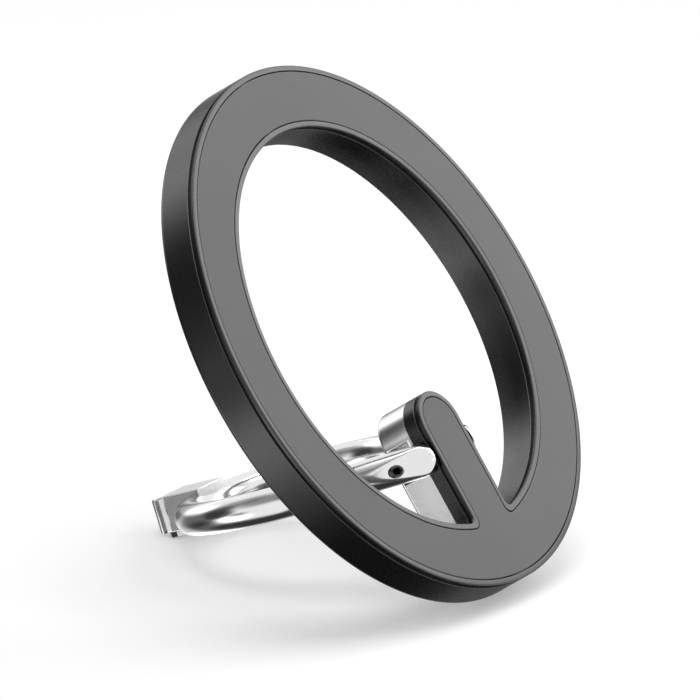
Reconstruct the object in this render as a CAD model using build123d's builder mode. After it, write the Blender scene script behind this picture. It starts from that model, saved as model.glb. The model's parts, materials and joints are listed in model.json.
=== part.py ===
import math
import os

from build123d import *

os.makedirs("parts", exist_ok=True)

# Driving dimensions, in mm and degrees

# flat ring with its tongue
ring_outer_radius = 28.5
band_width = 6.75
ring_thickness = 4.52
tongue_width = 6.8
tongue_tip_radius_from_centre = 7.6
tongue_thickness = 2.1
tongue_root_fillet = 0.7
front_border = 0.6
front_edge_round = 0.15
rear_edge_round = 0.45
wall_groove_width = 0.5
wall_groove_depth = 0.25
wall_groove_from_front = 0.22

# inlay pad, adhesive, magnets and back plate, front to rear
pad_thickness = 0.6
pad_gap = 0.1
adhesive_thickness = 0.12
adhesive_margin = 0.4
channel_side_wall = 1.1
channel_floor = 1.0
back_plate_thickness = 0.6
back_plate_gap = 0.05
magnet_count = 18
magnet_gap_angle = 1.2
magnet_side_gap = 0.1

# hinge block behind the tongue
block_rear = 5.7
block_end_gap = 0.05
block_rear_round = 0.4
boss_height = 0.3
boss_above_pin = 2.3
boss_below_pin = 1.6
boss_rear_margin = 0.42
boss_front_margin = 0.25
boss_chamfer = 0.28

# two countersunk screws between tongue and block
screw_head_diameter = 2.4
screw_head_cone = 0.55
screw_shank_diameter = 1.3
screw_length = 2.7
screw_clearance = 0.08
screw_head_sink = 0.03
screw_upper_from_centre = 9.9
screw_lower_from_centre = 17.8
screw_cross_width = 0.3
screw_cross_length = 1.3
screw_cross_depth = 0.35

# hinge axis
pin_from_centre = 13.3
pin_depth = 3.4
pin_diameter = 1.3
pin_running_clearance = 0.03
bushing_wall = 0.28
pin_socket_width = 0.75
pin_socket_depth = 0.8
washer_diameter = 3.0
washer_thickness = 0.2
washer_axial_gap = 0.02

# finger ring
rod_diameter = 3.4
loop_radius = 11.5
loop_centre_distance = 15.05
arm_spacing_at_pin = 10.2
swing_tilt = 13.9
rod_rise = 0.2
tail_round_distance = 1.55
facet_depth_at_pin = 0.37
facet_turn = 8.8

# end block on the far bend
end_width = 5.5
end_before_bend = 1.25
end_beyond_bend = 4.55
end_top = 2.25
end_bottom = 1.5
end_groove_from_tip = 0.56
end_groove_width = 0.34
end_groove_depth = 0.3
end_rib_length = 0.7
end_side_recess = 0.1
end_tip_round = 0.5
foot_plate_length = 1.25
foot_pad_length = 0.7
foot_sink = 0.2
foot_height = 0.5
foot_width = 4.8
foot_from_tip = 1.1

# Values that follow
ring_inner_radius = ring_outer_radius - band_width
tongue_half = tongue_width / 2
tongue_arc_centre = tongue_tip_radius_from_centre + tongue_half
rod_radius = rod_diameter / 2
pin_radius = pin_diameter / 2
bushing_radius = pin_radius + pin_running_clearance + bushing_wall
boss_face = tongue_half + boss_height
arm_inner_face = boss_face + washer_thickness + 2 * washer_axial_gap
arm_offset = arm_spacing_at_pin / 2

# Direction of each arm: the line from the hinge point that touches the loop circle
arm_span = math.hypot(arm_offset, loop_centre_distance)
arm_angle = math.degrees(
    math.atan2(-arm_offset, loop_centre_distance) + math.asin(loop_radius / arm_span)
)
arm_length = math.sqrt(arm_span**2 - loop_radius**2)
touch_x = arm_offset + arm_length * math.sin(math.radians(arm_angle))
touch_y = arm_length * math.cos(math.radians(arm_angle))
facet_angle = arm_angle + facet_turn
end_inner = loop_centre_distance + loop_radius - end_before_bend
end_outer = loop_centre_distance + loop_radius + end_beyond_bend
facet_at_pin = arm_offset + (rod_radius - facet_depth_at_pin) / math.cos(math.radians(arm_angle))

# Lean of the flat ring when its lower rear edge and the foot both rest on the floor.
# Distances are taken down the ring face and behind its front face.
tilt = math.radians(swing_tilt)
loop_from_centre = pin_from_centre - rod_rise * math.cos(tilt)
loop_depth = pin_depth - rod_rise * math.sin(tilt)
foot_end = end_outer - foot_from_tip
foot_low = end_bottom + foot_height
foot_down = loop_from_centre - foot_end * math.sin(tilt) + foot_low * math.cos(tilt)
foot_back = loop_depth + foot_end * math.cos(tilt) + foot_low * math.sin(tilt)
rim_down = ring_outer_radius - rear_edge_round
rim_back = ring_thickness - rear_edge_round
reach_down = rim_down - foot_down
reach_back = foot_back - rim_back
reach = math.hypot(reach_down, reach_back)
lean = math.atan2(reach_down, reach_back) + math.asin(rear_edge_round / reach)

# Main directions and datum planes
front_normal = Vector(0, -math.cos(lean), math.sin(lean))
face_up = Vector(0, math.sin(lean), math.cos(lean))
floor_height = (rim_down * math.cos(lean) + rim_back * math.sin(lean)) + rear_edge_round
round_down = ring_outer_radius - front_edge_round
front_reach = round_down * math.sin(lean) - front_edge_round * math.cos(lean) + front_edge_round
drop = lean - tilt
loop_reach = loop_depth * math.cos(lean) - loop_from_centre * math.sin(lean)
tip_reach = (
    loop_reach
    + (end_outer - end_tip_round) * math.cos(drop)
    + (end_top - end_tip_round) * math.sin(drop)
    + end_tip_round
)
centre_y = (front_reach - tip_reach) / 2
centre = Vector(0, centre_y, floor_height)


def face_plane(depth):
    return Plane(origin=centre - front_normal * depth, x_dir=(1, 0, 0), z_dir=front_normal)


pin_centre = centre - face_up * pin_from_centre - front_normal * pin_depth
swing_dir = face_up * math.sin(tilt) - front_normal * math.cos(tilt)
loop_up = face_up * math.cos(tilt) + front_normal * math.sin(tilt)
loop_plane = Plane(origin=pin_centre + loop_up * rod_rise, x_dir=(1, 0, 0), z_dir=loop_up)


def along_pin(x):
    return Plane(
        origin=pin_centre + Vector(x, 0, 0), x_dir=(0, swing_dir.Y, swing_dir.Z), z_dir=(1, 0, 0)
    )


# Outline of ring and tongue, drawn inwards by a border
def ring_outline(border):
    half = tongue_half - border
    inner = ring_inner_radius + border
    with BuildSketch() as outline:
        Circle(ring_outer_radius - border)
        Circle(inner, mode=Mode.SUBTRACT)
        with BuildLine():
            Polyline(
                (-half, -tongue_arc_centre),
                (-half, -(inner + 0.5 * band_width)),
                (half, -(inner + 0.5 * band_width)),
                (half, -tongue_arc_centre),
            )
            ThreePointArc(
                (half, -tongue_arc_centre),
                (0, -tongue_arc_centre + half),
                (-half, -tongue_arc_centre),
            )
        make_face()
        root_y = math.sqrt(inner**2 - half**2)
        corners = outline.vertices().filter_by(
            lambda v: abs(abs(v.X) - half) < 0.01 and abs(v.Y + root_y) < 0.05
        )
        fillet(corners, tongue_root_fillet + border * 0.3)
    return outline.sketch


def on_inner_outline(point):
    x, y = point.X, point.Y
    radius = math.hypot(x, y)
    on_circle = abs(radius - ring_inner_radius) < 0.001
    on_side = abs(abs(x) - tongue_half) < 0.001 and radius < ring_inner_radius
    on_tip = abs(math.hypot(x, y + tongue_arc_centre) - tongue_half) < 0.001
    fillet_x = tongue_half + tongue_root_fillet
    fillet_y = math.sqrt((ring_inner_radius - tongue_root_fillet) ** 2 - fillet_x**2)
    on_root = abs(math.hypot(abs(x) - fillet_x, y + fillet_y) - tongue_root_fillet) < 0.001
    return on_circle or on_side or on_tip or on_root


# Ring housing: flat ring and tongue in one piece, recess for the pad, channel for the magnets
recess_depth = pad_thickness + adhesive_thickness
channel_bottom = ring_thickness - channel_floor

with BuildPart() as ring_housing:
    with BuildSketch(face_plane(ring_thickness)):
        Circle(ring_outer_radius)
        Circle(ring_inner_radius, mode=Mode.SUBTRACT)
    extrude(amount=ring_thickness)
    with BuildSketch(face_plane(tongue_thickness)):
        add(ring_outline(0))
    extrude(amount=tongue_thickness)
    with BuildSketch(face_plane(recess_depth)):
        add(ring_outline(front_border))
    extrude(amount=recess_depth, mode=Mode.SUBTRACT)
    with BuildSketch(face_plane(channel_bottom)):
        Circle(ring_outer_radius - channel_side_wall)
        Circle(ring_inner_radius + channel_side_wall, mode=Mode.SUBTRACT)
    extrude(amount=channel_bottom - recess_depth, mode=Mode.SUBTRACT)
    # rounded front and rear edges
    wall_edges = ring_housing.edges().filter_by(GeomType.CIRCLE)
    rear_edges = wall_edges.filter_by(
        lambda e: (
            abs((e.center() - centre).dot(front_normal) + ring_thickness) < 0.001
            and abs(e.radius - ring_outer_radius) < 0.001
        )
    )
    fillet(rear_edges, rear_edge_round)
    front_edges = ring_housing.edges().filter_by(
        lambda e: (
            abs((e @ 0.5 - centre).dot(front_normal)) < 0.001
            and abs(((e @ 0.5) - centre).length - ring_outer_radius) < 0.001
        )
    )
    fillet(front_edges, front_edge_round)
    inner_edges = ring_housing.edges().filter_by(
        lambda e: (
            abs((e @ 0.5 - centre).dot(front_normal)) < 0.001
            and on_inner_outline(face_plane(0).to_local_coords(e @ 0.5))
        )
    )
    fillet(inner_edges, front_edge_round)
    # narrow groove in the outer and inner walls, close behind the front edge
    with BuildSketch(face_plane(wall_groove_from_front + wall_groove_width)):
        add(ring_outline(-1))
        add(ring_outline(wall_groove_depth), mode=Mode.SUBTRACT)
    extrude(amount=wall_groove_width, mode=Mode.SUBTRACT)
    # countersunk screw holes through the tongue
    for y in (screw_upper_from_centre, screw_lower_from_centre):
        with BuildSketch(face_plane(tongue_thickness)):
            with Locations((0, -y)):
                Circle(screw_shank_diameter / 2 + screw_clearance)
        extrude(amount=tongue_thickness, mode=Mode.SUBTRACT)
        with BuildPart(face_plane(recess_depth + screw_head_sink), mode=Mode.PRIVATE) as sink:
            with Locations((0, -y, 0)):
                Cone(
                    bottom_radius=screw_shank_diameter / 2 + screw_clearance,
                    top_radius=screw_head_diameter / 2 + screw_clearance,
                    height=screw_head_cone,
                    align=(Align.CENTER, Align.CENTER, Align.MAX),
                )
                Cylinder(
                    radius=screw_head_diameter / 2 + screw_clearance,
                    height=screw_head_sink * 2,
                    align=(Align.CENTER, Align.CENTER, Align.MIN),
                )
        add(sink.part, mode=Mode.SUBTRACT)

# Front pad: flush inlay in the outline of ring and tongue
with BuildPart() as front_pad:
    with BuildSketch(face_plane(pad_thickness)):
        add(ring_outline(front_border + pad_gap))
    extrude(amount=pad_thickness)

# Adhesive sheet under the pad
with BuildPart() as pad_adhesive:
    with BuildSketch(face_plane(recess_depth)):
        add(ring_outline(front_border + adhesive_margin))
    extrude(amount=adhesive_thickness)

# Steel back plate on the channel floor
with BuildPart() as back_plate:
    with BuildSketch(face_plane(channel_bottom)):
        Circle(ring_outer_radius - channel_side_wall - back_plate_gap)
        Circle(ring_inner_radius + channel_side_wall + back_plate_gap, mode=Mode.SUBTRACT)
    extrude(amount=back_plate_thickness)

# Arc magnets on the back plate
magnet_thickness = channel_bottom - back_plate_thickness - recess_depth
magnet_step = 360 / magnet_count
magnet_inner = ring_inner_radius + channel_side_wall + magnet_side_gap
magnet_outer = ring_outer_radius - channel_side_wall - magnet_side_gap
magnet_parts = []
for i in range(magnet_count):
    start = 90 + (i - 0.5) * magnet_step + magnet_gap_angle / 2
    stop = start + magnet_step - magnet_gap_angle
    middle = math.radians((start + stop) / 2)
    a = math.radians(start)
    b = math.radians(stop)
    with BuildPart() as magnet:
        with BuildSketch(face_plane(channel_bottom - back_plate_thickness)):
            with BuildLine():
                Line(
                    (magnet_inner * math.cos(a), magnet_inner * math.sin(a)),
                    (magnet_outer * math.cos(a), magnet_outer * math.sin(a)),
                )
                ThreePointArc(
                    (magnet_outer * math.cos(a), magnet_outer * math.sin(a)),
                    (magnet_outer * math.cos(middle), magnet_outer * math.sin(middle)),
                    (magnet_outer * math.cos(b), magnet_outer * math.sin(b)),
                )
                Line(
                    (magnet_outer * math.cos(b), magnet_outer * math.sin(b)),
                    (magnet_inner * math.cos(b), magnet_inner * math.sin(b)),
                )
                ThreePointArc(
                    (magnet_inner * math.cos(b), magnet_inner * math.sin(b)),
                    (magnet_inner * math.cos(middle), magnet_inner * math.sin(middle)),
                    (magnet_inner * math.cos(a), magnet_inner * math.sin(a)),
                )
            make_face()
        extrude(amount=magnet_thickness)
    magnet_parts.append((f"magnet_{i + 1:02d}", magnet))

# Hinge block: same outline as the tongue, with a raised seat for the finger ring on each side
with BuildPart() as hinge_block:
    block_end = ring_inner_radius - tongue_root_fillet - block_end_gap
    with BuildSketch(face_plane(block_rear)):
        with Locations((0, -tongue_arc_centre)):
            Circle(tongue_half)
            Rectangle(tongue_width, block_end, align=(Align.CENTER, Align.MAX))
        Circle(block_end, mode=Mode.INTERSECT)
    extrude(amount=block_rear - tongue_thickness)
    rear_rim = hinge_block.edges().filter_by(
        lambda e: (
            abs((e @ 0.5 - centre).dot(front_normal) + block_rear) < 0.001
            and (e @ 0.5 - centre).length < block_end - 0.5
        )
    )
    fillet(rear_rim, block_rear_round)
    seat_front = tongue_thickness + boss_front_margin
    seat_rear = block_rear - boss_rear_margin
    seat_from_centre = pin_from_centre + (boss_below_pin - boss_above_pin) / 2
    for side in (-1, 1):
        seat_start = centre + Vector(side * (tongue_half - 0.5), 0, 0)
        seat_middle = front_normal * ((seat_front + seat_rear) / 2)
        seat_plane = Plane(
            origin=seat_start - face_up * seat_from_centre - seat_middle,
            x_dir=(0, face_up.Y, face_up.Z),
            z_dir=(side, 0, 0),
        )
        with BuildSketch(seat_plane):
            Rectangle(boss_above_pin + boss_below_pin, seat_rear - seat_front)
        extrude(amount=boss_height + 0.5)
    seat_edges = hinge_block.edges().filter_by(
        lambda e: abs(abs((e @ 0.5).X) - boss_face) < 0.001
    )
    chamfer(seat_edges, boss_chamfer)
    # bore for the bushing
    with BuildSketch(along_pin(-boss_face - 1)):
        Circle(bushing_radius)
    extrude(amount=2 * boss_face + 2, mode=Mode.SUBTRACT)
    # threaded bores for the two screws, drawn at shank size
    for y in (screw_upper_from_centre, screw_lower_from_centre):
        depth_end = recess_depth + screw_head_sink + screw_length + 0.15
        with BuildSketch(face_plane(depth_end)):
            with Locations((0, -y)):
                Circle(screw_shank_diameter / 2)
        extrude(amount=depth_end - tongue_thickness, mode=Mode.SUBTRACT)

# Screws that join tongue and hinge block
screw_parts = []
for name, y in (
    ("block_screw_upper", screw_upper_from_centre),
    ("block_screw_lower", screw_lower_from_centre),
):
    with BuildPart(face_plane(recess_depth + screw_head_sink)) as block_screw:
        with Locations((0, -y, 0)):
            Cone(
                bottom_radius=screw_shank_diameter / 2,
                top_radius=screw_head_diameter / 2,
                height=screw_head_cone,
                align=(Align.CENTER, Align.CENTER, Align.MAX),
            )
            Cylinder(
                radius=screw_shank_diameter / 2,
                height=screw_length,
                align=(Align.CENTER, Align.CENTER, Align.MAX),
            )
            Box(
                screw_cross_length,
                screw_cross_width,
                2 * screw_cross_depth,
                mode=Mode.SUBTRACT,
            )
            Box(
                screw_cross_width,
                screw_cross_length,
                2 * screw_cross_depth,
                mode=Mode.SUBTRACT,
            )
    screw_parts.append((name, block_screw))

# Finger ring: one round rod, two straight arms that run into a round loop
tail_reach = 2 * (tail_round_distance + rod_radius)
tail_x = arm_offset - tail_reach * math.sin(math.radians(arm_angle))
tail_y = -tail_reach * math.cos(math.radians(arm_angle))

with BuildPart() as finger_ring:
    with BuildLine(loop_plane) as rod_path:
        Line((tail_x, tail_y), (touch_x, touch_y))
        ThreePointArc(
            (touch_x, touch_y),
            (0, loop_centre_distance + loop_radius),
            (-touch_x, touch_y),
        )
        Line((-touch_x, touch_y), (-tail_x, tail_y))
    start_point = loop_plane.from_local_coords(Vector(tail_x, tail_y, 0))
    start_dir = loop_plane.from_local_coords(Vector(touch_x, touch_y, 0)) - start_point
    with BuildSketch(Plane(origin=start_point, z_dir=start_dir)):
        Circle(rod_radius)
    sweep()
    # round tail ends, seen along the pin
    with BuildSketch(along_pin(-30)):
        with Locations((20 - tail_round_distance, 0)):
            Rectangle(40, 10)
        with Locations((-tail_round_distance, rod_rise)):
            Circle(rod_radius)
    extrude(amount=60, mode=Mode.INTERSECT)
    # flat inner faces beside tongue and block
    with BuildSketch(loop_plane.offset(-5)):
        with Locations((0, 0)):
            Rectangle(2 * arm_inner_face, 14)
    extrude(amount=10, mode=Mode.SUBTRACT)
    # milled outer faces round the pin ends
    for side in (-1, 1):
        turn = math.radians(facet_angle)
        face_dir = Vector(side * math.cos(turn), -math.sin(turn), 0)
        face_point = Vector(side * facet_at_pin, 0, 0)
        facet_origin = loop_plane.from_local_coords(face_point)
        facet_normal = loop_plane.from_local_coords(face_point + face_dir) - facet_origin
        facet_plane = Plane(origin=facet_origin, z_dir=facet_normal)
        with BuildSketch(facet_plane):
            Rectangle(9, 9)
        extrude(amount=2, mode=Mode.SUBTRACT)
    # bore for the pin
    with BuildSketch(along_pin(-20)):
        Circle(pin_radius)
    extrude(amount=40, mode=Mode.SUBTRACT)

# Hinge pin with a hexagon socket in each end
pin_half = facet_at_pin - 0.05
with BuildPart() as hinge_pin:
    with BuildSketch(along_pin(-pin_half)):
        Circle(pin_radius)
    extrude(amount=2 * pin_half)
    # ends follow the milled faces of the arms, a little below them
    for side in (-1, 1):
        turn = math.radians(facet_angle)
        face_dir = Vector(side * math.cos(turn), -math.sin(turn), 0)
        face_point = Vector(side * (facet_at_pin - 0.22), 0, 0)
        cut_origin = loop_plane.from_local_coords(face_point)
        cut_normal = loop_plane.from_local_coords(face_point + face_dir) - cut_origin
        with BuildSketch(Plane(origin=cut_origin, z_dir=cut_normal)):
            Rectangle(4, 4)
        extrude(amount=2, mode=Mode.SUBTRACT)
        start = side * (pin_half + 0.01)
        with BuildSketch(along_pin(start)):
            RegularPolygon(pin_socket_width / 2, 6, major_radius=False)
        extrude(amount=-side * (pin_socket_depth + 0.2), mode=Mode.SUBTRACT)

# Bushing pressed into the hinge block
with BuildPart() as hinge_bushing:
    with BuildSketch(along_pin(-boss_face)):
        Circle(bushing_radius)
        Circle(pin_radius + pin_running_clearance, mode=Mode.SUBTRACT)
    extrude(amount=2 * boss_face)

# Friction washers between block and arms
washer_parts = []
for name, side in (("washer_left", -1), ("washer_right", 1)):
    start = boss_face + washer_axial_gap
    with BuildPart() as washer:
        with BuildSketch(along_pin(side * start)):
            Circle(washer_diameter / 2)
            Circle(pin_radius + pin_running_clearance, mode=Mode.SUBTRACT)
        extrude(amount=side * washer_thickness)
    washer_parts.append((name, washer))

# End block: clamped over the far bend, with one groove near its tip
end_length = end_outer - end_inner
end_height = end_top + end_bottom
end_middle = (end_outer + end_inner) / 2
with BuildPart() as end_block:
    with BuildSketch(loop_plane.offset(-end_bottom)):
        with Locations((0, end_middle)):
            Rectangle(end_width, end_length)
    extrude(amount=end_height)
    tip_edges = end_block.edges().filter_by(
        lambda e: (
            abs(loop_plane.to_local_coords(e @ 0.5).Y - end_outer) < 0.001
        )
    )
    fillet(tip_edges, end_tip_round)
    # groove all round, behind the rounded tip
    groove_y = end_outer - end_groove_from_tip - end_groove_width / 2
    with BuildSketch(loop_plane.offset(-end_bottom - 1)):
        with Locations((0, groove_y)):
            Rectangle(end_width + 2, end_groove_width)
    extrude(amount=end_height + 2, mode=Mode.SUBTRACT)
    with BuildSketch(loop_plane.offset(-end_bottom + end_groove_depth)):
        with Locations((0, groove_y)):
            Rectangle(end_width - 2 * end_groove_depth, end_groove_width)
    extrude(amount=end_height - 2 * end_groove_depth)
    # underside cut away before the middle of the bend
    bend_middle = loop_centre_distance + loop_radius
    with BuildSketch(loop_plane.offset(-end_bottom - 1)):
        with Locations((0, bend_middle - 5)):
            Rectangle(end_width + 2, 10)
    extrude(amount=end_bottom + 1, mode=Mode.SUBTRACT)
    # side faces stand a little behind the rib at the groove
    rib_end = groove_y - end_groove_width / 2 - end_rib_length
    for side in (-1, 1):
        with BuildSketch(loop_plane.offset(-end_bottom - 1)):
            with Locations((side * end_width / 2, (rib_end + end_inner - 1) / 2)):
                Rectangle(2 * end_side_recess, rib_end - end_inner + 1)
        extrude(amount=end_height + 2, mode=Mode.SUBTRACT)
    # recess for the foot on the underside
    foot_total = foot_pad_length + foot_plate_length
    with BuildSketch(loop_plane.offset(-end_bottom)):
        with Locations((0, foot_end - foot_total / 2)):
            Rectangle(foot_width, foot_total)
    extrude(amount=foot_sink, mode=Mode.SUBTRACT)
    add(finger_ring.part, mode=Mode.SUBTRACT)

# Foot on the underside of the end block: dark pad at the tip side, plain plate beside it
foot_parts = []
for name, length, end in (
    ("foot_pad", foot_pad_length, foot_end),
    ("foot_plate", foot_plate_length, foot_end - foot_pad_length),
):
    with BuildPart() as foot:
        with BuildSketch(loop_plane.offset(-end_bottom - foot_height)):
            with Locations((0, end - length / 2)):
                Rectangle(foot_width, length)
        extrude(amount=foot_height + foot_sink)
    foot_parts.append((name, foot))

# Write every part
named = [
    ("ring_housing", ring_housing),
    ("front_pad", front_pad),
    ("pad_adhesive", pad_adhesive),
    ("back_plate", back_plate),
    ("hinge_block", hinge_block),
    ("finger_ring", finger_ring),
    ("hinge_pin", hinge_pin),
    ("hinge_bushing", hinge_bushing),
    ("end_block", end_block),
]
named += magnet_parts + screw_parts + washer_parts + foot_parts
for part_name, built in named:
    built.part.label = part_name
    export_step(built.part, f"parts/{part_name}.step")
    box = built.part.bounding_box()
    print(part_name, round(built.part.volume, 2), box.min, box.max, len(built.part.solids()))
print("lean", math.degrees(lean), "arm angle", arm_angle)
print("pin", pin_centre, "swing", swing_dir, "centre", centre)
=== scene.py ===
import json
import math

import bmesh
import bpy
from mathutils import Matrix, Vector


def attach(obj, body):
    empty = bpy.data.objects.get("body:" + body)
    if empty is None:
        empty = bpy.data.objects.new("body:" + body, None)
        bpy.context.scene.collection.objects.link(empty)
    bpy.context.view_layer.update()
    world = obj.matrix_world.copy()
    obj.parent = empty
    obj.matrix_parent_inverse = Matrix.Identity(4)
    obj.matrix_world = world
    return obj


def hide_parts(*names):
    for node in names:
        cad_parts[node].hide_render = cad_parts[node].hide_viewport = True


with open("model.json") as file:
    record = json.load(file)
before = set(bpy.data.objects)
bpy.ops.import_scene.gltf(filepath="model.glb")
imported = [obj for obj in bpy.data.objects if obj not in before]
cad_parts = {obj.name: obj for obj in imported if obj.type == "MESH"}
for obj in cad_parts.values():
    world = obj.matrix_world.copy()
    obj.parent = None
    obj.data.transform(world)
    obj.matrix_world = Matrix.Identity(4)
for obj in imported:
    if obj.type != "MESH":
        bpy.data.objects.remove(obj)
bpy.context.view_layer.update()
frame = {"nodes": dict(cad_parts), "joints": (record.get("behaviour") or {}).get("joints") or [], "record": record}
nodes = frame["nodes"]
MM = 0.001

# Sizes in millimetres, the same as the solids have. Depths count from the front face to the rear.
# Flat ring and tongue
RING_R, BAND, RING_T = 28.5, 6.75, 4.52
TONGUE_HALF, TONGUE_TIP, TONGUE_T = 3.4, 7.6, 2.1
ROOT_FILLET = 0.7
IN_R = RING_R - BAND
TIP_C = TONGUE_TIP + TONGUE_HALF
# Rim: border round the pad, edges, and the groove in the wall with its lips
BORDER, PAD_GAP, PAD_T, RECESS = 0.6, 0.1, 0.6, 0.72
FRONT_ROUND, REAR_ROUND, REAR_INNER = 0.15, 0.45, 0.2
GROOVE_AT, GROOVE_W, GROOVE_D, LIP = 0.22, 0.5, 0.25, 0.04
PAD_ROUND, PAD_FLATTER = 0.1, 0.9
# A row of vertices this far beside an edge keeps the shading of the flat beyond it even
SUPPORT = 0.08
# Hinge block and the seats on its sides, which the washers run on
BLOCK_REAR, BLOCK_ROUND, BLOCK_GAP = 5.7, 0.4, 0.005
BLOCK_END = IN_R - ROOT_FILLET - 0.05
SEAT_H, SEAT_ABOVE, SEAT_BELOW, SEAT_SLOPE = 0.3, 2.3, 1.6, 0.28
SEAT_FRONT, SEAT_REAR = TONGUE_T + 0.25, BLOCK_REAR - 0.42
WASHER_T, WASHER_PLAY = 0.2, 0.04
# Pin, and the finger ring's rod: a loop with two straight arms
PIN_DOWN, PIN_DEPTH, PIN_R = 13.3, 3.4, 0.65
ROD_R, ROD_RISE = 1.7, 0.2
LOOP_R, LOOP_L = 11.5, 15.05
ARM_X, TAIL_S = 5.1, 1.55
TILT = math.radians(13.9)
FACET_DEPTH, FACET_TURN = 0.37, 8.8
FACET_SOFT, INNER_SOFT, TAIL_SOFT = 0.16, 0.08, 0.3
ARM_INNER = TONGUE_HALF + SEAT_H + WASHER_T + WASHER_PLAY
BORE_EDGE = 0.09
# End block
END_W, END_TOP, END_BOTTOM = 5.5, 2.25, 1.5
END_IN, END_OUT = LOOP_L + LOOP_R - 1.25, LOOP_L + LOOP_R + 4.55
END_GROOVE, END_GROOVE_W, END_GROOVE_D = 0.56, 0.34, 0.3
END_RIB, END_RECESS, END_ROUND, END_EDGE, END_CORNER = 0.7, 0.1, 0.5, 0.12, 0.22

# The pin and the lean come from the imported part
joint = frame["joints"][0]
pin = Vector(joint["pos_m"])
face_axis = Vector(frame["record"]["mounts"][0]["axis"]).normalized()
face_up = Vector((0, face_axis.z, -face_axis.y))
centre = pin + face_up * PIN_DOWN * MM + face_axis * PIN_DEPTH * MM
swing = face_up * math.sin(TILT) - face_axis * math.cos(TILT)
loop_up = face_up * math.cos(TILT) + face_axis * math.sin(TILT)


def on_face(x, y, h):
    """World point x across, y up and h out of the ring's face, in millimetres from its centre."""
    return centre + Vector((x, 0, 0)) * MM + face_up * y * MM + face_axis * h * MM


def on_loop(x, s, m):
    """World point x along the pin, s along the finger ring and m up from it, from the pin."""
    return pin + Vector((x, 0, 0)) * MM + swing * s * MM + loop_up * (m + ROD_RISE) * MM


# ---------------------------------------------------------------- materials
def node(tree, kind, **values):
    """A new node with these inputs or properties."""
    n = tree.nodes.new(kind)
    for key, value in values.items():
        if key in n.inputs:
            n.inputs[key].default_value = value
        else:
            setattr(n, key, value)
    return n


def ramp(tree, source, low, high, first, last):
    """Colour ramp between two greys or colours, from low to high in the source."""
    n = tree.nodes.new("ShaderNodeValToRGB")
    e = n.color_ramp.elements
    e[0].position, e[1].position = low, high
    e[0].color = (first, first, first, 1) if isinstance(first, float) else (*first, 1)
    e[1].color = (last, last, last, 1) if isinstance(last, float) else (*last, 1)
    tree.links.new(source, n.inputs["Fac"])
    return n.outputs["Color"]


def surface(name, dark, light, wear_and_highlight, rough, mottle, grain, relief, metallic=1.0, level=0.5,
            edge=None, along=1.0, satin=None):
    """Mottled colour, edges in another tone that is part wear and part painted highlight, uneven gloss and a fine
    relief.

    mottle and grain are noise scales, and relief is the height in metres. along draws the grain
    out across Z. With edge, the edge tone (wear and painted highlight) follows the Pointiness between
    two levels, and else the mesh's edge marks. satin is the tone of the faces that the mesh marks so.
    """
    m = bpy.data.materials.new(name)
    m.use_nodes = True
    t = m.node_tree
    b = t.nodes["Principled BSDF"]
    at = node(t, "ShaderNodeTexCoord")
    stretch = node(t, "ShaderNodeMapping", Scale=(1.0, 1.0, along))
    broad = node(t, "ShaderNodeTexNoise", Scale=mottle, Detail=4.0, Roughness=0.55)
    fine = node(t, "ShaderNodeTexNoise", Scale=grain, Detail=3.0, Roughness=0.65)
    t.links.new(at.outputs["Object"], broad.inputs["Vector"])
    t.links.new(at.outputs["Object"], stretch.inputs["Vector"])
    t.links.new(stretch.outputs["Vector"], fine.inputs["Vector"])
    colour = ramp(t, broad.outputs["Fac"], 0.32, 0.68, dark, light)
    if edge:
        pointed = node(t, "ShaderNodeNewGeometry").outputs["Pointiness"]
        ridge = ramp(t, pointed, edge[0], edge[1], 0.0, 1.0)
    else:
        ridge = node(t, "ShaderNodeAttribute", attribute_name="edge_wear_and_highlight").outputs["Fac"]
    patchy = ramp(t, broad.outputs["Fac"], 0.35, 0.6, 0.45, 1.0)
    # edges take the other tone: part wear, part painted highlight
    wear_and_highlight_mask = node(t, "ShaderNodeMath", operation="MULTIPLY")
    t.links.new(ridge, wear_and_highlight_mask.inputs[0])
    t.links.new(patchy, wear_and_highlight_mask.inputs[1])
    mix = node(t, "ShaderNodeMix", data_type="RGBA")
    mix.inputs["B"].default_value = (*wear_and_highlight, 1)
    t.links.new(wear_and_highlight_mask.outputs[0], mix.inputs["Factor"])
    t.links.new(colour, mix.inputs["A"])
    if satin:
        tone = node(t, "ShaderNodeMix", data_type="RGBA")
        marked = node(t, "ShaderNodeAttribute", attribute_name="satin")
        t.links.new(marked.outputs["Fac"], tone.inputs["Factor"])
        t.links.new(mix.outputs["Result"], tone.inputs["A"])
        t.links.new(ramp(t, broad.outputs["Fac"], 0.3, 0.7, satin, satin * 1.15), tone.inputs["B"])
        mix = tone
    t.links.new(mix.outputs["Result"], b.inputs["Base Color"])
    gloss = ramp(t, fine.outputs["Fac"], 0.3, 0.7, rough[0], rough[1])
    t.links.new(gloss, b.inputs["Roughness"])
    bump = node(t, "ShaderNodeBump", Strength=0.3, Distance=relief)
    t.links.new(fine.outputs["Fac"], bump.inputs["Height"])
    t.links.new(bump.outputs["Normal"], b.inputs["Normal"])
    b.inputs["Metallic"].default_value = metallic
    b.inputs["Specular IOR Level"].default_value = level
    return m


def even(v):
    return (v, v, v)
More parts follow.
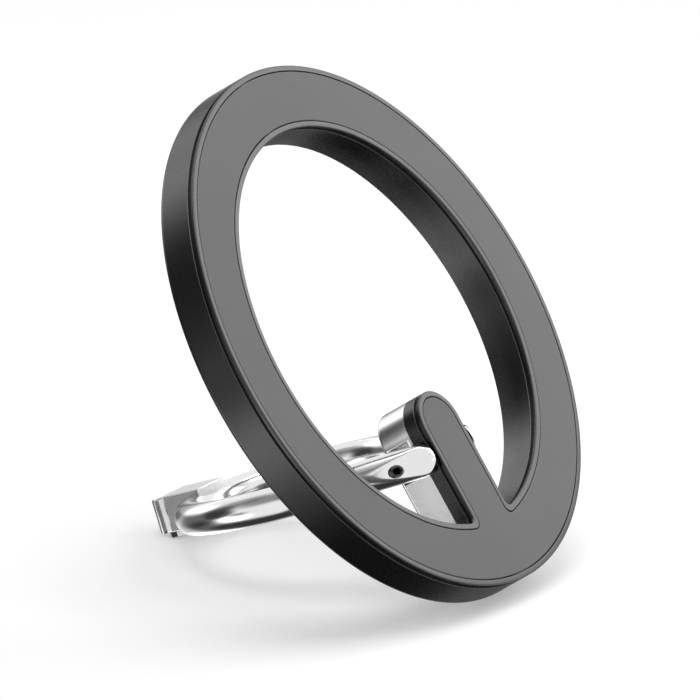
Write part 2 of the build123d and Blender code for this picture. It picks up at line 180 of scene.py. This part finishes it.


# The pieces drawn below carry their edge tone, part wear and part painted highlight, as marks, and the CAD nodes
# take it from their shape
CAD_EDGE = (0.52, 0.60)
# Its lighter edges are part wear and part painted highlight on the rims
M_BLACK = surface("satin_black_metal", (0.0025, 0.0025, 0.0028), (0.004, 0.004, 0.0043),
                  (0.04, 0.04, 0.042), rough=(0.25, 0.32), metallic=0.0, level=0.6,
                  mottle=160.0, grain=5200.0, relief=1.5e-6)
# The pad's rounded edges are painted lighter: a painted highlight for the light line they catch
M_PAD = surface("grey_silicone", even(0.150), even(0.162), even(0.20), rough=(0.62, 0.72),
                metallic=0.0, level=0.3, mottle=70.0, grain=7000.0, relief=1.2e-5)
M_CHROME = surface("polished_chrome", even(0.79), even(0.84), even(0.9), rough=(0.14, 0.19),
                   mottle=240.0, grain=1500.0, relief=8e-7, along=14.0)
M_BLOCK = surface("satin_nickel", even(0.68), even(0.73), even(0.85), rough=(0.20, 0.27),
                  mottle=300.0, grain=2200.0, relief=6e-7, along=10.0)
M_END = surface("brushed_end_steel", even(0.66), even(0.72), even(0.85), rough=(0.27, 0.30),
                mottle=300.0, grain=900.0, relief=3e-7, along=4.0, satin=0.28)
M_STEEL = surface("turned_steel", even(0.46), even(0.58), even(0.72), rough=(0.24, 0.33),
                  mottle=700.0, grain=4200.0, relief=2e-6, edge=CAD_EDGE)
M_DARK = surface("dark_screw_steel", even(0.035), even(0.06), even(0.16), rough=(0.26, 0.36),
                 metallic=0.9, mottle=700.0, grain=4200.0, relief=2e-6, edge=CAD_EDGE)
M_MAGNET = surface("magnet_plating", (0.5, 0.49, 0.47), (0.6, 0.59, 0.57), even(0.7),
                   rough=(0.26, 0.34), mottle=500.0, grain=3800.0, relief=2e-6, edge=CAD_EDGE)
M_GLUE = surface("adhesive_film", (0.68, 0.67, 0.62), (0.76, 0.75, 0.71), even(0.8),
                 rough=(0.5, 0.6), metallic=0.0, level=0.4, mottle=300.0, grain=2600.0,
                 relief=3e-6, edge=CAD_EDGE)
M_RUBBER = surface("black_rubber", even(0.011), even(0.018), even(0.05), rough=(0.62, 0.75),
                   metallic=0.0, level=0.4, mottle=400.0, grain=4200.0, relief=1e-5, edge=CAD_EDGE)


# ------------------------------------------------------------------- meshes
# Edge marks for wear and painted highlight start at this ridge angle and grow over the next, in degrees
EDGE_TONE_FROM, EDGE_TONE_OVER = 6, 14


def as_mesh(name, bm):
    """A mesh with its seams closed and its faces turned outwards."""
    bmesh.ops.remove_doubles(bm, verts=bm.verts, dist=1e-7)
    bmesh.ops.recalc_face_normals(bm, faces=bm.faces)
    mesh = bpy.data.meshes.new(name)
    bm.to_mesh(mesh)
    bm.free()
    return mesh


def mark_wear_and_highlight(mesh):
    """Vertex marks for the edge tone, part wear and part painted highlight, that grow from 0 to 1 with the
    sharpest ridge at the vertex, in degrees.
    """
    bm = bmesh.new()
    bm.from_mesh(mesh)
    sharpest = [
        max((math.degrees(e.calc_face_angle(0.0)) for e in v.link_edges if e.is_convex), default=0.0)
        for v in bm.verts
    ]
    bm.free()
    layer = mesh.attributes.new("edge_wear_and_highlight", "FLOAT", "POINT")
    layer.data.foreach_set("value", [min(max((a - EDGE_TONE_FROM) / EDGE_TONE_OVER, 0.0), 1.0) for a in sharpest])


def finish(name, mesh, mat, body, replaced, angle=32):
    """The piece with its edge marks for wear and painted highlight, and its shading, which takes the places of the
    CAD nodes replaced.
    """
    mark_wear_and_highlight(mesh)
    for p in mesh.polygons:
        p.use_smooth = True
    mesh.set_sharp_from_angle(angle=math.radians(angle))
    mesh.materials.clear()
    mesh.materials.append(mat)
    o = bpy.data.objects.new(name, mesh)
    bpy.context.scene.collection.objects.link(o)
    even_out = o.modifiers.new("face_normals", "WEIGHTED_NORMAL")
    even_out.keep_sharp, even_out.weight = True, 80
    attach(o, body)
    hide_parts(*replaced)
    return o


def skin(bm, loops):
    """Quads between neighbouring closed loops of equally many points. Returns the loops' vertices."""
    rows = [[bm.verts.new(p) for p in loop] for loop in loops]
    for a, b in zip(rows, rows[1:]):
        n = len(a)
        for i in range(n):
            j = (i + 1) % n
            bm.faces.new((a[i], a[j], b[j], b[i]))
    return rows


def cap(bm, *rings):
    """Flat faces between one or more closed rings of vertices."""
    edges = []
    for ring in rings:
        for i, v in enumerate(ring):
            w = ring[(i + 1) % len(ring)]
            edges.append(bm.edges.get((v, w)) or bm.edges.new((v, w)))
    bmesh.ops.triangle_fill(bm, use_beauty=True, use_dissolve=False, edges=edges)


# How finely the outlines of ring, tongue and block are divided
CIRCLE_STEPS, INNER_STEPS, FILLET_STEPS, SIDE_STEPS, TIP_STEPS = 360, 300, 14, 10, 48


def quarter(steps):
    """Angles from 0 to 90 degrees."""
    return [i / steps * math.pi / 2 for i in range(steps + 1)]


def round_edge(radius, steps):
    """A rounded edge, as distances from the two faces it joins. It starts on the first."""
    return [(radius * (1 - math.cos(a)), radius * (1 - math.sin(a))) for a in quarter(steps)]


def full_turn(steps):
    """Angles all the way round."""
    return [2 * math.pi * i / steps for i in range(steps)]


def circle_loop(radius, h):
    """A circle about the ring's axis."""
    return [on_face(radius * math.cos(a), radius * math.sin(a), h) for a in full_turn(CIRCLE_STEPS)]


def inner_points(border, tongue_only=False):
    """Inner outline of the ring with the tongue, in the face, going round anticlockwise."""
    r = IN_R + border
    half = TONGUE_HALF - border
    f = ROOT_FILLET + 0.3 * border
    xc = half + f
    yc = -math.sqrt((r - f) ** 2 - xc**2)
    right, left = math.atan2(yc, xc), math.atan2(yc, -xc)
    points = []
    if not tongue_only:
        for i in range(INNER_STEPS):
            a = right + (math.pi - 2 * right) * i / INNER_STEPS
            points.append((r * math.cos(a), r * math.sin(a)))
    for i in range(FILLET_STEPS):
        a = left - left * i / FILLET_STEPS
        points.append((-xc + f * math.cos(a), yc + f * math.sin(a)))
    for i in range(SIDE_STEPS):
        points.append((-half, yc + (-TIP_C - yc) * i / SIDE_STEPS))
    for i in range(TIP_STEPS):
        a = math.pi - math.pi * i / TIP_STEPS
        points.append((half * math.cos(a), -TIP_C + half * math.sin(a)))
    for i in range(SIDE_STEPS):
        points.append((half, -TIP_C + (yc + TIP_C) * i / SIDE_STEPS))
    for i in range(FILLET_STEPS + 1 if tongue_only else FILLET_STEPS):
        a = math.pi + (math.pi + right) * i / FILLET_STEPS
        points.append((xc + f * math.cos(a), yc + f * math.sin(a)))
    return points


def inner_loop(border, h):
    return [on_face(x, y, h) for x, y in inner_points(border)]


# ring housing: recess wall, front border, rounded edge and groove as (border, height) pairs
groove_end = GROOVE_AT + GROOVE_W
rim = [(BORDER + PAD_T, -RECESS), (BORDER, -RECESS), (BORDER, -LIP), (BORDER - LIP, 0.0)]
rim += [(q, -p) for p, q in round_edge(FRONT_ROUND, 6)]
rim += [(0.0, -GROOVE_AT + LIP / 2), (LIP / 2, -GROOVE_AT), (GROOVE_D, -GROOVE_AT)]
rim += [(GROOVE_D, -groove_end), (LIP, -groove_end), (0.0, -groove_end - LIP)]
rim.append((0.0, -groove_end - 2.5 * LIP))

bm = bmesh.new()
profile = [(RING_R - b, h) for b, h in rim] + [(RING_R, -RING_T + REAR_ROUND + SUPPORT)]
profile += [(RING_R - p, -RING_T + q) for p, q in round_edge(REAR_ROUND, 8)]
profile += [(IN_R + REAR_INNER, -RING_T), (IN_R + 0.3 * REAR_INNER, -RING_T + 0.3 * REAR_INNER),
            (IN_R, -RING_T + REAR_INNER), (IN_R, -TONGUE_T)]
skin(bm, [circle_loop(r, h) for r, h in profile])
skin(bm, [inner_loop(b, h) for b, h in rim + [(0.0, -TONGUE_T + SUPPORT), (0.0, -TONGUE_T)]])
# underside of the tongue, closed by an arc along the ring
under = inner_points(0.0, tongue_only=True)
right_a, left_a = math.atan2(under[-1][1], under[-1][0]), math.atan2(under[0][1], under[0][0])
arc_angles = [right_a + (left_a - right_a) * i / 16 for i in range(1, 16)]
under += [(IN_R * math.cos(a), IN_R * math.sin(a)) for a in arc_angles]
bm.faces.new([bm.verts.new(on_face(x, y, -TONGUE_T)) for x, y in under])
finish("housing_shell", as_mesh("housing_shell", bm), M_BLACK, "holder",
       ["ring_housing"])

# front pad: flush inlay with a small rounded edge
bm = bmesh.new()
pad_edge = BORDER + PAD_GAP
pad = [(pad_edge, -PAD_T)]
pad += [(pad_edge + PAD_FLATTER * p, -q) for p, q in round_edge(PAD_ROUND, 5)]
pad += [(pad_edge + 0.2, 0.0), (pad_edge + 0.35, 0.0)]
rows_out = skin(bm, [circle_loop(RING_R - b, h) for b, h in pad])
rows_in = skin(bm, [inner_loop(b, h) for b, h in pad])
cap(bm, rows_out[-1], rows_in[-1])
finish("front_inlay", as_mesh("front_inlay", bm), M_PAD, "holder", ["front_pad"])


# hinge block
def block_loop(border, h):
    """Outline of the hinge block, moved inwards by border."""
    half = TONGUE_HALF - border
    end_a = math.asin(half / BLOCK_END)
    end_angles = [end_a * (1 - i / 4) for i in range(9)]
    tip_angles = [math.pi * (1 - i / TIP_STEPS) for i in range(TIP_STEPS + 1)]
    pts = [(BLOCK_END * math.sin(a), -BLOCK_END * math.cos(a)) for a in end_angles]
    y0 = pts[-1][1]
    pts += [(-half, y0 + (-TIP_C - y0) * i / 11) for i in range(1, 11)]
    pts += [(half * math.cos(a), -TIP_C + half * math.sin(a)) for a in tip_angles]
    pts += [(half, -TIP_C + (y0 + TIP_C) * i / 11) for i in range(1, 11)]
    return [on_face(x, y, h) for x, y in pts]


bm = bmesh.new()
block = [(0.0, -TONGUE_T - BLOCK_GAP)]
block += [(p, -BLOCK_REAR + q) for p, q in round_edge(BLOCK_ROUND, 8)]
rows = skin(bm, [block_loop(b, h) for b, h in block])
cap(bm, rows[0])
cap(bm, rows[-1])
# raised seats with sloping edges, as (inset, height) pairs that start inside the block
seat = ((0.0, -SEAT_H), (0.0, 0.0), (0.02, 0.035),
        (SEAT_SLOPE - 0.03, SEAT_H - 0.015), (SEAT_SLOPE + 0.03, SEAT_H))
for side in (-1, 1):
    loops = []
    for inset, out in seat:
        x = side * (TONGUE_HALF + out)
        top, bottom = -PIN_DOWN + SEAT_ABOVE - inset, -PIN_DOWN - SEAT_BELOW + inset
        front, rear = -SEAT_FRONT - inset, -SEAT_REAR + inset
        corners = ((top, front), (bottom, front), (bottom, rear), (top, rear))
        loops.append([on_face(x, y, h) for y, h in corners])
    cap(bm, skin(bm, loops)[-1])
finish("hinge_block_body", as_mesh("hinge_block_body", bm), M_BLOCK, "holder",
       ["hinge_block"], angle=40)

# finger ring: a swept rod whose ends are flattened and rounded off with soft edges
span = math.hypot(ARM_X, LOOP_L)
arm_angle = math.atan2(-ARM_X, LOOP_L) + math.asin(LOOP_R / span)
arm_length = math.sqrt(span**2 - LOOP_R**2)
touch_x, touch_s = ARM_X + arm_length * math.sin(arm_angle), arm_length * math.cos(arm_angle)
facet_x = ARM_X + (ROD_R - FACET_DEPTH) / math.cos(arm_angle)
turn = arm_angle + math.radians(FACET_TURN)


def soft(q, w):
    """The smaller of q and zero, blended over w to either side."""
    if abs(q) >= w:
        return min(q, 0.0)
    return -((w - q) ** 2) / (4 * w)


def arm_point(s, skew, a):
    """Point of an arm at the angle a round its section. Skew 1 keeps the section along the pin."""
    limit = math.sqrt(max(ROD_R**2 - min(s + TAIL_S, 0.0) ** 2, 0.0))
    u, m = ROD_R * math.cos(a), ROD_R * math.sin(a)
    if limit < ROD_R:
        u *= (limit / ROD_R) ** 0.2
        m = math.copysign(limit + soft(abs(m) - limit, min(TAIL_SOFT, limit, ROD_R - limit)), m)
    t = u * math.tan(arm_angle) * skew
    x = ARM_X + s * math.tan(arm_angle) + u * math.cos(arm_angle) + t * math.sin(arm_angle)
    s += t * math.cos(arm_angle) - u * math.sin(arm_angle)
    over = (x - facet_x) * math.cos(turn) - s * math.sin(turn)
    over -= soft(over, FACET_SOFT)
    x, s = x - over * math.cos(turn), s + over * math.sin(turn)
    return ARM_INNER - soft(ARM_INNER - x, INNER_SOFT), s, m


ROUND_STEPS, BEND_STEPS, ARC_STEPS, BORE_STEPS = 96, 14, 160, 64
rounds = full_turn(ROUND_STEPS)
# places along the arm, from its end, with their skew
places = [(-TAIL_S - ROD_R * math.cos(a), 1.0) for a in quarter(16)]
places += [(-TAIL_S + 0.25 * i, 1.0) for i in range(1, 17)]
bend_from = places[-1][0]
for i in range(1, BEND_STEPS + 1):
    places.append((bend_from + (touch_s - bend_from) * i / BEND_STEPS, 1 - i / BEND_STEPS))
arm = [[arm_point(s, skew, a) for a in rounds] for s, skew in places]
path = list(arm)
start = math.atan2(touch_s - LOOP_L, touch_x)
for i in range(1, ARC_STEPS):
    b = start + (math.pi - 2 * start) * i / ARC_STEPS
    reach = [LOOP_R + ROD_R * math.cos(a) for a in rounds]
    path.append([
        (r * math.cos(b), LOOP_L + r * math.sin(b), ROD_R * math.sin(a)) for r, a in zip(reach, rounds)
    ])
path += [[(-x, s, m) for x, s, m in row] for row in reversed(arm)]
bm = bmesh.new()
skin(bm, [[on_loop(*q) for q in row] for row in path])
rod = bpy.data.objects.new("rod_work", as_mesh("rod", bm))
bpy.context.scene.collection.objects.link(rod)


def prism_mesh(name, points, low, high, radius=0.0):
    """A closed prism along the pin from low to high, with rounded edges if wanted."""
    made = bmesh.new()
    rows = skin(made, [[Vector((a, b, c)) for a, b in points] for c in (low, high)])
    made.faces.new(rows[0])
    made.faces.new(rows[1])
    if radius:
        bmesh.ops.bevel(made, geom=made.edges[:], offset=radius, segments=3, profile=0.5,
                        affect="EDGES")
    for v in made.verts:
        s, m, x = v.co
        v.co = on_loop(x, s, m)
    bmesh.ops.recalc_face_normals(made, faces=made.faces)
    mesh = bpy.data.meshes.new(name)
    made.to_mesh(mesh)
    made.free()
    return mesh


bore = [(PIN_R * math.cos(a), PIN_R * math.sin(a) - ROD_RISE) for a in full_turn(BORE_STEPS)]
cutter = bpy.data.objects.new("bore", prism_mesh("bore", bore, -20, 20))
bpy.context.scene.collection.objects.link(cutter)
drill = rod.modifiers.new("bore", "BOOLEAN")
drill.operation, drill.object, drill.solver = "DIFFERENCE", cutter, "EXACT"
bevel = rod.modifiers.new("edges", "BEVEL")
bevel.width, bevel.segments, bevel.limit_method = BORE_EDGE * MM, 3, "ANGLE"
bevel.angle_limit = math.radians(50)
bpy.context.view_layer.update()
cut_mesh = bpy.data.meshes.new_from_object(rod.evaluated_get(bpy.context.evaluated_depsgraph_get()))
bpy.data.objects.remove(rod)
bpy.data.objects.remove(cutter)
finish("finger_ring_rod", cut_mesh, M_CHROME, "finger_loop", ["finger_ring"],
       angle=30)


# end block: body and rib, core of the groove, rounded tip. They run into each other a little.
def rect_loop(s, inset):
    """Rounded outline of the end block, moved inwards by inset."""
    pts = []
    w, low, high = END_W / 2 - inset, -END_BOTTOM + inset, END_TOP - inset
    r = max(END_CORNER - inset * 0.3, 0.05)
    corners = ((w - r, high - r, 0), (-w + r, high - r, 90),
               (-w + r, low + r, 180), (w - r, low + r, 270))
    for cx, cy, a0 in corners:
        for i in range(7):
            a = math.radians(a0 + 15 * i)
            pts.append(on_loop(cx + r * math.cos(a), s, cy + r * math.sin(a)))
    return pts


half_w = END_W / 2
groove_out = END_OUT - END_GROOVE
groove_in = groove_out - END_GROOVE_W
rib_in = groove_in - END_RIB
middle = LOOP_L + LOOP_R
body_shape = [(END_IN, 0.0), (middle, 0.0), (middle, -END_BOTTOM), (rib_in + 0.2, -END_BOTTOM),
              (rib_in + 0.2, END_TOP), (END_IN, END_TOP)]
bm = bmesh.new()
for mesh in (
    prism_mesh("body", body_shape, END_RECESS - half_w, half_w - END_RECESS, END_EDGE),
    prism_mesh("core", [(groove_in - 0.3, -END_BOTTOM + 0.3), (groove_out + 0.3, -END_BOTTOM + 0.3),
                        (groove_out + 0.3, END_TOP - 0.3), (groove_in - 0.3, END_TOP - 0.3)],
               END_GROOVE_D - half_w, half_w - END_GROOVE_D),
):
    bm.from_mesh(mesh)
    bpy.data.meshes.remove(mesh)
# rib and tip as (distance, inset) pairs
rib = [(rib_in, 0.3), (rib_in, END_EDGE)]
rib += [(rib_in + 0.1 * math.sin(a), END_EDGE * (1 - math.sin(a))) for a in quarter(3)[1:]]
rib += [(groove_in - 0.1 * math.cos(a), 0.1 * (1 - math.cos(a))) for a in quarter(4)]
rib += [(groove_in, 0.35)]
tip = [(groove_out, 0.35), (groove_out, 0.05), (groove_out + 0.04, 0.0)]
tip += [(END_OUT - q, p) for p, q in round_edge(END_ROUND, 8)]
for part in (rib, tip):
    rows = skin(bm, [rect_loop(s, inset) for s, inset in part])
    cap(bm, rows[0])
    cap(bm, rows[-1])
end_block = finish("end_block_body", as_mesh("end_block_body", bm), M_END, "finger_loop",
                   ["end_block"], angle=40)
# the body's recessed sides are satin, and rib and tip are bright
sides = end_block.data.attributes.new("satin", "FLOAT", "FACE")
sides.data.foreach_set("value", [
    float(abs(p.normal.x) > 0.98 and abs(p.center.x) < (half_w - END_RECESS / 2) * MM)
    for p in end_block.data.polygons
])

# CAD nodes that stay, with their materials
kept = {
    "hinge_pin": M_DARK, "hinge_bushing": M_STEEL, "washer_left": M_STEEL, "washer_right": M_STEEL,
    "back_plate": M_STEEL, "pad_adhesive": M_GLUE, "block_screw_upper": M_STEEL,
    "block_screw_lower": M_STEEL, "foot_pad": M_RUBBER, "foot_plate": M_STEEL,
}
for name, o in nodes.items():
    mat = kept.get(name) or (M_MAGNET if name.startswith("magnet") else None)
    if mat is None:
        continue
    o.data.materials.clear()
    o.data.materials.append(mat)
    for p in o.data.polygons:
        p.use_smooth = True
    o.data.set_sharp_from_angle(angle=math.radians(30))

# -------------------------------------------------------------------- stage
FLOOR_R, FLOOR_GLOW = 1.6, 0.30
bpy.ops.mesh.primitive_circle_add(vertices=96, radius=FLOOR_R, fill_type="NGON", location=(0, 0, 0))
floor = bpy.context.object
floor.name = "floor"
pale = bpy.data.materials.new("floor_pale")
pale.use_nodes = True
t = pale.node_tree
b = t.nodes["Principled BSDF"]
b.inputs["Base Color"].default_value = (0.80, 0.80, 0.80, 1)
b.inputs["Roughness"].default_value = 0.95
b.inputs["Specular IOR Level"].default_value = 0.0


def seen_directly(tree):
    """1 for the rays that show the background (camera, glossy, transmission), and the ray flags."""
    rays = node(tree, "ShaderNodeLightPath")
    first = node(tree, "ShaderNodeMath", operation="MAXIMUM")
    second = node(tree, "ShaderNodeMath", operation="MAXIMUM")
    tree.links.new(rays.outputs["Is Camera Ray"], first.inputs[0])
    tree.links.new(rays.outputs["Is Glossy Ray"], first.inputs[1])
    tree.links.new(first.outputs[0], second.inputs[0])
    tree.links.new(rays.outputs["Is Transmission Ray"], second.inputs[1])
    return second.outputs[0], rays


shown, rays = seen_directly(t)
glow = node(t, "ShaderNodeMath", operation="MULTIPLY")
glow.inputs[1].default_value = FLOOR_GLOW
t.links.new(shown, glow.inputs[0])
b.inputs["Emission Color"].default_value = (1, 1, 1, 1)
t.links.new(glow.outputs[0], b.inputs["Emission Strength"])
# In mirrors the floor gives way to the studio below, so that the two are one backdrop
clear = node(t, "ShaderNodeBsdfTransparent")
seen = node(t, "ShaderNodeMixShader")
t.links.new(rays.outputs["Is Glossy Ray"], seen.inputs[0])
t.links.new(b.outputs[0], seen.inputs[1])
t.links.new(clear.outputs[0], seen.inputs[2])
t.links.new(seen.outputs[0], t.nodes["Material Output"].inputs["Surface"])
floor.data.materials.append(pale)

# World: a white studio with soft panels, which only reflections see. Each panel has its azimuth,
# elevation, inner and outer radius in degrees, and how much light it takes or adds.
PANELS = (
    (95, -20, 12, 40, -0.85), (112, 12, 8, 22, -0.8), (118, 8, 6, 20, -0.6),
    (150, 40, 10, 35, -0.7), (190, 38, 6, 22, -0.7), (110, 36, 8, 24, -0.6),
    (130, -80, 14, 36, -0.96), (300, -75, 20, 40, -0.96), (308, 40, 8, 22, -0.9),
    (108, -48, 12, 34, -0.75), (151, -16.5, 5, 12, -0.75), (-6, -56, 12, 28, -0.9),
    (14, -30, 9, 18, -0.8), (62, -42, 10, 24, -0.4), (213, 10, 1, 6, -0.5),
    (226, -14, 7, 14, -0.9), (245, -50, 12, 24, -0.85), (82, 9, 8, 18, 1.4),
    (50, -5, 9, 20, -0.85), (30, -50, 8, 20, 2.0), (125, -4, 11, 21, -0.93),
    (146, -35, 8, 22, 2.2),
)
DARKEST, AMBIENT = 0.04, 0.55
world = bpy.data.worlds.new("studio")
bpy.context.scene.world = world
world.use_nodes = True
t = world.node_tree
t.nodes.clear()
world_out = node(t, "ShaderNodeOutputWorld")
at = node(t, "ShaderNodeTexCoord")
level = None
for azimuth, elevation, inner, outer, change in PANELS:
    az, el = math.radians(azimuth), math.radians(elevation)
    dot = node(t, "ShaderNodeVectorMath", operation="DOT_PRODUCT")
    dot.inputs[1].default_value = (
        math.cos(az) * math.cos(el), math.sin(az) * math.cos(el), math.sin(el))
    t.links.new(at.outputs["Generated"], dot.inputs[0])
    fade = node(t, "ShaderNodeMapRange", interpolation_type="SMOOTHSTEP")
    fade.inputs["From Min"].default_value = math.cos(math.radians(outer))
    fade.inputs["From Max"].default_value = math.cos(math.radians(inner))
    fade.inputs["To Min"].default_value = 1.0
    fade.inputs["To Max"].default_value = 1.0 + change
    t.links.new(dot.outputs["Value"], fade.inputs["Value"])
    if level is None:
        level = fade.outputs["Result"]
    else:
        product = node(t, "ShaderNodeMath", operation="MULTIPLY")
        t.links.new(level, product.inputs[0])
        t.links.new(fade.outputs["Result"], product.inputs[1])
        level = product.outputs[0]
least = node(t, "ShaderNodeMath", operation="MAXIMUM")
least.inputs[1].default_value = DARKEST
t.links.new(level, least.inputs[0])
shown, rays = seen_directly(t)
# the camera sees plain white, and glossy and transmission rays see the panels
strength = node(t, "ShaderNodeMix", data_type="FLOAT")
strength.inputs["B"].default_value = 1.0
t.links.new(rays.outputs["Is Camera Ray"], strength.inputs["Factor"])
t.links.new(least.outputs[0], strength.inputs["A"])
backdrop = node(t, "ShaderNodeBackground")
t.links.new(strength.outputs["Result"], backdrop.inputs["Strength"])
backdrop.inputs["Color"].default_value = (1, 1, 1, 1)
ambient = node(t, "ShaderNodeBackground", Strength=AMBIENT)
ambient.inputs["Color"].default_value = (1, 1, 1, 1)
by_ray = node(t, "ShaderNodeMixShader")
t.links.new(shown, by_ray.inputs[0])
t.links.new(ambient.outputs[0], by_ray.inputs[1])
t.links.new(backdrop.outputs[0], by_ray.inputs[2])
t.links.new(by_ray.outputs[0], world_out.inputs[0])


def area(name, place, target, size, energy):
    """A rectangular lamp that points at the target, in metres and watts."""
    data = bpy.data.lights.new(name, "AREA")
    data.shape, data.size, data.size_y, data.energy = "RECTANGLE", size[0], size[1], energy
    o = bpy.data.objects.new(name, data)
    o.location = Vector(place)
    o.rotation_euler = (Vector(target) - Vector(place)).to_track_quat("-Z", "Y").to_euler()
    bpy.context.scene.collection.objects.link(o)


mid = Vector((0, 0, 0.024))
area("front", (0.13, -0.09, 0.12), mid, (0.16, 0.14), 0.15)
area("top", (0.02, 0.02, 0.60), mid, (0.40, 0.40), 1.1)
area("right_back", (0.30, 0.54, 0.09), mid, (0.34, 0.28), 0.08)

# ------------------------------------------------------------------- camera
# Fitted to the photograph. Its axes are in the ring's own directions: side, down and out of the
# face. Shift and distance, in millimetres, count from the ring's centre.
CAM_RIGHT, CAM_DOWN = (-0.4805, 0.4785, 0.7350), (0.2288, 0.8774, -0.4216)
CAM_SHIFT, CAM_DISTANCE = (-3.8484, 2.5469), 1985.34
CAM_LENS, CAM_SENSOR = 1028.57, 36.0
side_u, down_v, out_n = Vector((-1, 0, 0)), -face_up, face_axis
cam_right = side_u * CAM_RIGHT[0] + down_v * CAM_RIGHT[1] + out_n * CAM_RIGHT[2]
cam_down = side_u * CAM_DOWN[0] + down_v * CAM_DOWN[1] + out_n * CAM_DOWN[2]
cam_right.normalize()
cam_down = (cam_down - cam_right * cam_down.dot(cam_right)).normalized()
cam_back = cam_right.cross(-cam_down)
data = bpy.data.cameras.new("camera")
cam = bpy.data.objects.new("camera", data)
bpy.context.scene.collection.objects.link(cam)
data.lens, data.sensor_width = CAM_LENS, CAM_SENSOR
data.clip_start, data.clip_end = 0.1, 20.0
offset = cam_right * CAM_SHIFT[0] + cam_down * CAM_SHIFT[1] + cam_back * CAM_DISTANCE
rot = Matrix((cam_right, -cam_down, cam_back)).transposed().to_4x4()
cam.matrix_world = Matrix.Translation(centre + offset * MM) @ rot
bpy.context.scene.camera = cam
bpy.context.scene.view_settings.view_transform = "Standard"
